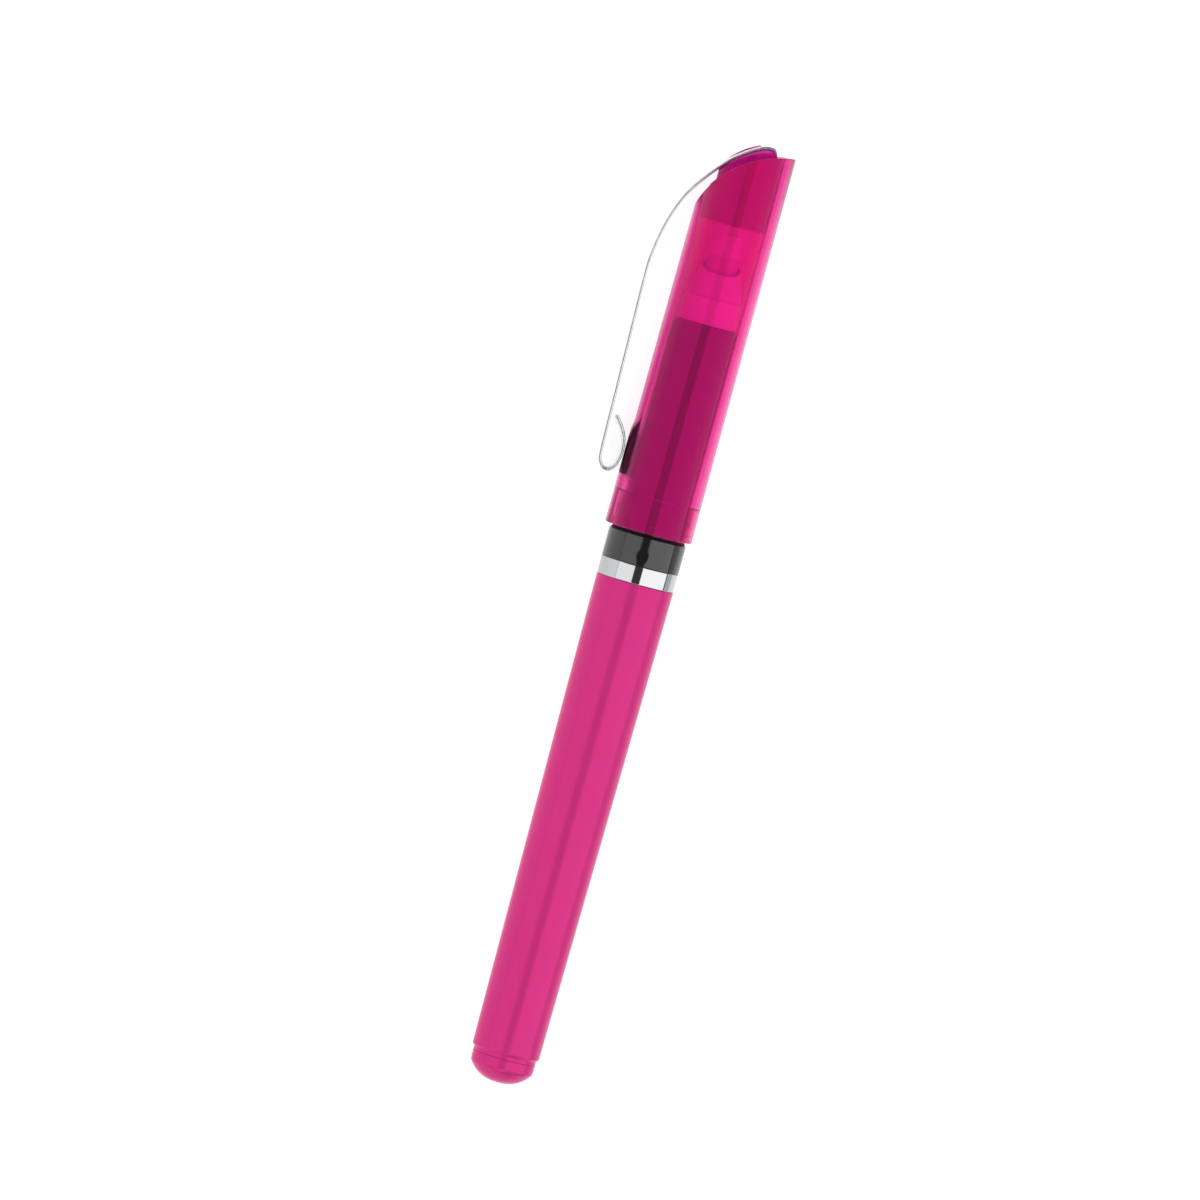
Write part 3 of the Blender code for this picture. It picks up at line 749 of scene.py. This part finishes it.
capSizes = {
    "mouth": 82.0,
    "mouthRadius": 6.35,
    "topRadius": 6.17,
    "top": 139.3,
    "mouthFlare": 5.85,
    "mouthFlareTop": 83.1,
    "mouthBore": 5.65,
    "mouthBoreTop": 86.9,
    "bore": 4.95,
    "plugBore": 4.93,
    "plugBottom": 127.6,
    "rim": ((-6.3, 128.8), (-2.77, 135.1), (6.4, 139.25)),
    "padHeight": 0.2,
    "padTop": 97.5,
    "padFade": 2.0,
    "padHalfAngle": 24,
    # where the painted shade patch lies on the cap wall, beside the clip's foot
    "shadeBottom": 89.3,
    "shadeTop": 94.9,
    "shadeRise": 3.1,
    "shadeHalfAngle": 32,
    "shadeInside": 6.0,
}


def smoothStep(value):
    value = min(max(value, 0), 1)
    return value * value * (3 - 2 * value)


def makeCapShell(s):
    rimX, rimZ, rimRadius = arcThrough(*s["rim"])

    def rimAt(r, angle):
        # the top edge's height: the scoop is one arc seen from the side
        return rimZ + math.sqrt(rimRadius**2 - (r * math.cos(angle) - rimX) ** 2)

    def outside(z, angle):
        # the pad under the clip's foot is a slight swelling on the clip side
        share = (z - s["mouth"]) / (s["top"] - s["mouth"])
        side = abs(math.degrees(math.remainder(angle - math.pi, tau))) / s["padHalfAngle"]
        height = (s["padTop"] - z) / s["padFade"]
        swell = smoothStep(1.6 * (1 - side) + 0.5) * smoothStep(height)
        return s["mouthRadius"] + (s["topRadius"] - s["mouthRadius"]) * share + s["padHeight"] * swell

    def outlineAt(angle):
        top = rimAt(s["topRadius"], angle)
        walls = [s["mouth"] + 0.8 + k * 0.5 for k in range(36)]
        corners = [
            (s["mouthFlare"], s["mouth"], 0.08),
            (outside(s["mouth"], angle), s["mouth"], 0.2),
            *[(outside(z, angle), z, 0) for z in walls],
            (outside(top, angle), top, 0.12),
            (s["plugBore"], rimAt(s["plugBore"], angle), 0.12),
            (s["plugBore"], s["plugBottom"], 0),
            (s["bore"], s["mouthBoreTop"] + 0.2, 0.05),
            (s["mouthBore"], s["mouthBoreTop"], 0.05),
            (s["mouthBore"], s["mouthFlareTop"], 0.05),
            (s["mouthFlare"] - 0.05, s["mouthFlareTop"] - 0.1, 0),
        ]
        return roundedOutline(corners, 4)

    shell = turned("capShellSkin", outlineAt, capClear, 192)
    # paint shade onto the wall beside the clip's foot
    paintShadePatch(shell.data, s)
    return shell


def paintShadePatch(mesh, s):
    # painted shade: a nearly black patch on the clip side of the clear cap wall, by the clip's foot,
    # where the wall reads dark
    mesh.materials.append(paintedShadeAbs)
    toPen = penPlace.inverted()
    for face in mesh.polygons:
        x, y, z = toPen @ face.center
        share = math.degrees(math.atan2(abs(y), -x)) / s["shadeHalfAngle"]
        top = s["shadeTop"] + s["shadeRise"] * share**2
        if share < 1 and s["shadeBottom"] < z < top and math.hypot(x, y) > s["shadeInside"]:
            face.material_index = 1


crownSizes = {
    "bottom": 127.7,
    "radius": 4.88,
    "shoulder": ((-5.5, 132.3), (-4.88, 132.6), (-4.2, 133.5)),
    "crest": ((-4.2, 134.75), (-1.06, 137.68), (2.6, 139.25)),
    "ridge": ((-4.2, 135.5), (-2.36, 137.8), (0.6, 139.75)),
    "back": ((2.8, 139.75), (4.1, 138.0), (5.5, 138.6)),
    "slot": (2.8, 4.1, 129.2),
    "slotHalfWidth": 2.1,
    "edge": 0.1,
}


def makeCrown(s):
    # a round plug cut to the crest's shape; side and top reach past it in every cut
    side, top = 5.5, 145.0
    corners = [(0, s["bottom"], 0), (s["radius"], s["bottom"], 0), (s["radius"], top, 0), (0, top, 0)]
    crown = turned("capCrownSkin", sameAllRound(corners), crownClear, 128)
    slotLeft, slotRight, slotBottom = s["slot"]
    below = s["bottom"] - 1
    crest, ridge = arcPoints(*s["crest"], 24), arcPoints(*s["ridge"], 24)
    kept = [(-side, below), *s["shoulder"], *ridge, *s["back"], (side, below)]
    cutWith(crown, prism("tool", kept[::-1], side, crownClear), "INTERSECT")
    # the strip lies on a shelf, with the ridge standing beyond it
    crestLow, crestHigh = s["crest"][0][1], s["crest"][2][1]
    shelf = [*crest, (slotLeft, crestHigh), (slotLeft, top), (-side, top), (-side, crestLow)]
    shelfTool = prism("tool", shelf, (side + s["slotHalfWidth"]) / 2, crownClear)
    shift = penAxes.to_3x3() @ Vector((0, (s["slotHalfWidth"] - side) / 2, 0)) * mm
    shelfTool.data.transform(Matrix.Translation(shift))
    cutWith(crown, shelfTool, "DIFFERENCE")
    slot = [(slotLeft, slotBottom), (slotRight, slotBottom), (slotRight, top), (slotLeft, top)]
    cutWith(crown, prism("tool", slot[::-1], s["slotHalfWidth"], crownClear), "DIFFERENCE")
    bevel = crown.modifiers.new("edge", "BEVEL")
    bevel.width = s["edge"] * mm
    bevel.segments = 3
    bevel.limit_method = "ANGLE"
    bevel.angle_limit = math.radians(40)
    applyModifiers(crown)
    crown.data.shade_smooth()
    crown.data.set_sharp_from_angle(angle=math.radians(35))
    return crown


sealSizes = {
    "bottom": 122.9,
    "top": 127.55,
    "radius": 2.75,
    "topRadius": 2.9,
    "bore": 2.4,
}


def makeSeal(s):
    corners = [
        (s["bore"], s["bottom"], 0.1),
        (s["radius"], s["bottom"], 0.1),
        (s["topRadius"], s["top"], 0.05),
        (s["bore"], s["top"], 0),
    ]
    return turned("sealSkin", sameAllRound(corners), sealLdpe)


finishPiece(makeCapShell(capSizes), "cap", "cap_clear", "cap_shell")
finishPiece(makeCrown(crownSizes), "cap", "cap_clear", "cap_crown")
finishPiece(makeSeal(sealSizes), "cap", "seal_soft", "seal_cup")
print("cap made")


clipSizes = {
    "width": 3.6,
    "outerFace": 0.215,
    "innerFace": 0.33,
    "edge": 0.18,
    "route": (
        (3.45, 136.0),
        (3.45, 138.2),
        (3.15, 139.4),
        (2.30, 139.77),
        (0.96, 139.50),
        (-1.33, 138.10),
        (-3.34, 136.40),
        (-6.07, 133.10),
        (-8.15, 129.70),
        (-9.60, 125.40),
        (-10.37, 120.80),
        (-10.485, 117.60),
        (-10.34, 110.70),
        (-10.09, 100.40),
        (-9.87, 91.80),
        (-9.50, 90.00),
        (-8.55, 89.20),
        (-7.45, 89.75),
        (-6.92, 91.20),
        (-6.83, 92.80),
        (-7.15, 94.40),
        (-7.90, 95.80),
        (-8.94, 97.10),
    ),
}


def makeClip(s):
    # a flat bar with small round edges, carried along the bent route
    section = []
    halfWidth, edge = s["width"] / 2, s["edge"]
    inner, outer = s["innerFace"] - edge, edge - s["outerFace"]
    for cornerY, cornerN, start in (
        (halfWidth - edge, inner, 0),
        (edge - halfWidth, inner, 90),
        (edge - halfWidth, outer, 180),
        (halfWidth - edge, outer, 270),
    ):
        for k in range(7):
            angle = math.radians(start + 15 * k)
            section.append((cornerY + edge * math.cos(angle), cornerN + edge * math.sin(angle)))
    route = smoothCurve(s["route"], 10)
    points, faces = [], []
    last = len(route) - 1
    for i, (x, z) in enumerate(route):
        before, after = route[max(i - 1, 0)], route[min(i + 1, last)]
        length = math.hypot(after[0] - before[0], after[1] - before[1])
        normal = (-(after[1] - before[1]) / length, (after[0] - before[0]) / length)
        for y, n in section:
            points.append((x + normal[0] * n, y, z + normal[1] * n))
    count = len(section)
    for i in range(last):
        for k in range(count):
            n = (k + 1) % count
            faces.append((i * count + k, i * count + n, (i + 1) * count + n, (i + 1) * count + k))
    faces.append(tuple(range(count - 1, -1, -1)))
    faces.append(tuple(last * count + k for k in range(count)))
    return makeObject("clipSkin", points, faces, stripSteel)


finishPiece(makeClip(clipSizes), "clip", "strip_steel", "clip")
print("clip made")


# The working parts inside keep the frame's own solids, with better finishes.
innerFinishes = {
    "lead_screw": innerPom,
    "carrier_nut": innerPom,
    "stick_carrier": innerPom,
    "guide_tube": innerPom,
    "rear_bushing": innerPom,
    "thrust_washer": innerPom,
    "retaining_ring": stripSteel,
    "friction_o_ring": ringRubber,
}
for nodeName, finish in innerFinishes.items():
    mesh = frame["nodes"][nodeName].data
    mesh.materials.clear()
    mesh.materials.append(finish)
print("inner parts finished")


# Lengths in metres, but middleZ in the pen's millimetres; each long box is
# (start angle, end angle, radiance).
stageLook = {
    "floorColour": "bcbcbc",
    "floorGlow": 0.82,
    "floorHalf": 4.0,
    "roomGrey": 0.08,
    "backdropWhite": 0.95,
    "distance": 0.5,
    "length": 0.8,
    "leftBox": (-12, -63, 1.75),
    "rightBox": (12, 91, 2.15),
    "endBoxSize": (0.3, 0.3),
    "endBoxRadiance": 2.0,
    "endBoxDirection": (0, -0.55, -0.84),
    "lowCard": (95, 116, 0.8),
    "middleZ": 70.0,
}


def makeStage(s):
    # a matt acrylic table lit from inside, so the floor is pale and even with only faint shadows
    made, tree, output = newMaterial("litAcrylicTable")
    shader = addNode(
        tree,
        "ShaderNodeBsdfPrincipled",
        {
            "Base Color": hexToLinear(s["floorColour"]),
            "Roughness": 0.9,
            "Specular IOR Level": 0.1,
            "Emission Color": (1.0, 1.0, 1.0, 1.0),
            "Emission Strength": s["floorGlow"],
        },
    )
    tree.links.new(shader.outputs[0], output.inputs["Surface"])
    half = s["floorHalf"]
    corners = [(-half, -half, 0), (half, -half, 0), (half, half, 0), (-half, half, 0)]
    mesh = bpy.data.meshes.new("floor")
    mesh.from_pydata(corners, [], [(0, 1, 2, 3)])
    mesh.materials.append(made)
    floor = bpy.data.objects.new("floor", mesh)
    bpy.context.scene.collection.objects.link(floor)

    # the camera sees a white backdrop, and the pen a dark room
    world = bpy.data.worlds.new("room")
    world.use_nodes = True
    tree = world.node_tree
    tree.nodes.clear()
    seen = addNode(tree, "ShaderNodeLightPath")
    white, grey = s["backdropWhite"], s["roomGrey"]
    backdrop = addNode(tree, "ShaderNodeBackground", {"Color": (white, white, white, 1)})
    room = addNode(tree, "ShaderNodeBackground", {"Color": (grey, grey, grey, 1)})
    both = addNode(tree, "ShaderNodeMixShader", {}, {0: seen.outputs["Is Camera Ray"]})
    tree.links.new(room.outputs[0], both.inputs[1])
    tree.links.new(backdrop.outputs[0], both.inputs[2])
    output = addNode(tree, "ShaderNodeOutputWorld")
    tree.links.new(both.outputs[0], output.inputs["Surface"])
    bpy.context.scene.world = world


def addSoftbox(name, s, span):
    # a long softbox beside the pen, between two angles round its axis from the viewer's side:
    # negative angles are on the clip's side
    start, end, radiance = span
    middle = math.radians((start + end) / 2)
    width = 2 * s["distance"] * math.tan(math.radians(abs(end - start) / 2))
    light = bpy.data.lights.new(name, "AREA")
    light.shape = "RECTANGLE"
    light.size = s["length"]
    light.size_y = width
    light.energy = radiance * math.pi * s["length"] * width
    made = bpy.data.objects.new(name, light)
    direction = penAxes.to_3x3() @ Vector((math.sin(middle), -math.cos(middle), 0))
    centre = penPlace @ Vector((0, 0, s["middleZ"]))
    made.matrix_world = lookFrom(centre + direction * s["distance"], centre, penZ)
    bpy.context.scene.collection.objects.link(made)


def addEndBox(s):
    # a smaller softbox beyond the knob, for its dome
    light = bpy.data.lights.new("endBox", "AREA")
    light.shape = "RECTANGLE"
    light.size, light.size_y = s["endBoxSize"]
    light.energy = s["endBoxRadiance"] * math.pi * light.size * light.size_y
    made = bpy.data.objects.new("endBox", light)
    target = penPlace @ Vector((0, 0, 0))
    direction = penAxes.to_3x3() @ Vector(s["endBoxDirection"])
    made.matrix_world = lookFrom(target + direction * s["distance"], target, penX)
    bpy.context.scene.collection.objects.link(made)


def lookFrom(place, target, sideways):
    # a frame at place that looks along -Z at target, with sideways as near its X as can be
    back = (place - target).normalized()
    up = back.cross(sideways).normalized()
    right = up.cross(back)
    turn = Matrix((right, up, back)).transposed().to_4x4()
    return Matrix.Translation(place) @ turn


# A long lens from far off. Distances and aim in the pen's millimetres, angles in degrees.
cameraLook = {
    "distance": 2100.0,
    "rise": 3.0,
    "aimX": -4.2,
    "aimZ": 70.8,
    "roll": 15.44,
    "lens": 439.0,
    "sensor": 36.0,
}


def makeCamera(s):
    data = bpy.data.cameras.new("camera")
    data.lens = s["lens"]
    data.sensor_width = s["sensor"]
    made = bpy.data.objects.new("camera", data)
    rise, roll = math.radians(s["rise"]), math.radians(s["roll"])
    offset = Vector((0, -math.cos(rise), math.sin(rise))) * s["distance"]
    target = Vector((s["aimX"], 0, s["aimZ"]))
    sideways = penAxes.to_3x3() @ Vector((math.cos(roll), 0, math.sin(roll)))
    made.matrix_world = lookFrom(penPlace @ (target + offset), penPlace @ target, sideways)
    bpy.context.scene.collection.objects.link(made)
    bpy.context.scene.camera = made


makeStage(stageLook)
for boxName in ("leftBox", "rightBox", "lowCard"):
    addSoftbox(boxName, stageLook, stageLook[boxName])
addEndBox(stageLook)
makeCamera(cameraLook)
bpy.context.scene.view_settings.view_transform = "Standard"
print("stage, light and camera made")
